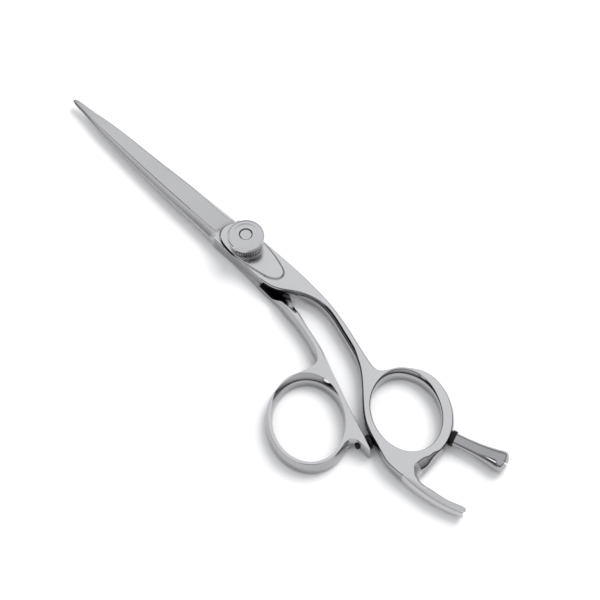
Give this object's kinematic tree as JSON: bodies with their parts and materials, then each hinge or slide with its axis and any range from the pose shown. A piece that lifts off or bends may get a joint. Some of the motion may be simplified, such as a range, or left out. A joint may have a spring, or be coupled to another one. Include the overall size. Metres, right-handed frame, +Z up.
{
  "type": "hair cutting shears",
  "caption": "Offset-handle hair cutting shears with dial-adjusted blade tension, oval finger rings, a fixed tang, a removable finger rest and a rubber bumper",
  "frame": {"origin": "on the surface the shears lie on, at the centre of the pivot screw's flat head, on the blade pivot axis", "axes": "+X to the right when looking down with the tips ahead, +Y along the closed blades to the tips, +Z up through the tension dial"},
  "size_m": [0.0452, 0.1704, 0.011],
  "materials": {
    "polished_steel": "polished stainless steel with satin ground blade faces",
    "spring_steel": "plain spring steel",
    "bronze": "turned bearing bronze",
    "slippery_plastic": "plain low-friction plastic",
    "black_rubber": "smooth black rubber"
  },
  "bodies": {
    "finger_half": {"finger_blade": "polished_steel", "pivot_screw": "polished_steel", "blade_washer": "slippery_plastic", "click_washer": "spring_steel", "spring_washer_lower": "spring_steel", "spring_washer_upper": "spring_steel", "dial_washer": "slippery_plastic", "lock_screw": "polished_steel", "finger_rest_washer": "black_rubber"},
    "thumb_half": {"thumb_blade": "polished_steel", "pivot_bush": "bronze", "bumper": "black_rubber"},
    "dial": {"tension_dial": "polished_steel"},
    "rest": {"finger_rest": "polished_steel"}
  },
  "joints": [
    {"name": "blade_pivot", "type": "hinge", "parent": "finger_half", "child": "thumb_half", "pos_m": [0, 0, 0.0026], "axis": [0, 0, -1], "range_deg": [0, 58]},
    {"name": "dial_turn", "type": "hinge", "parent": "finger_half", "child": "dial", "pos_m": [0, 0, 0.008], "axis": [0, 0, 1], "range_deg": [-180, 180]},
    {"name": "rest_unscrew", "type": "hinge", "parent": "finger_half", "child": "rest", "pos_m": [-0.0026, -0.0797, 0.00295], "axis": [0.289, -0.9573, 0], "continuous": true}
  ]
}
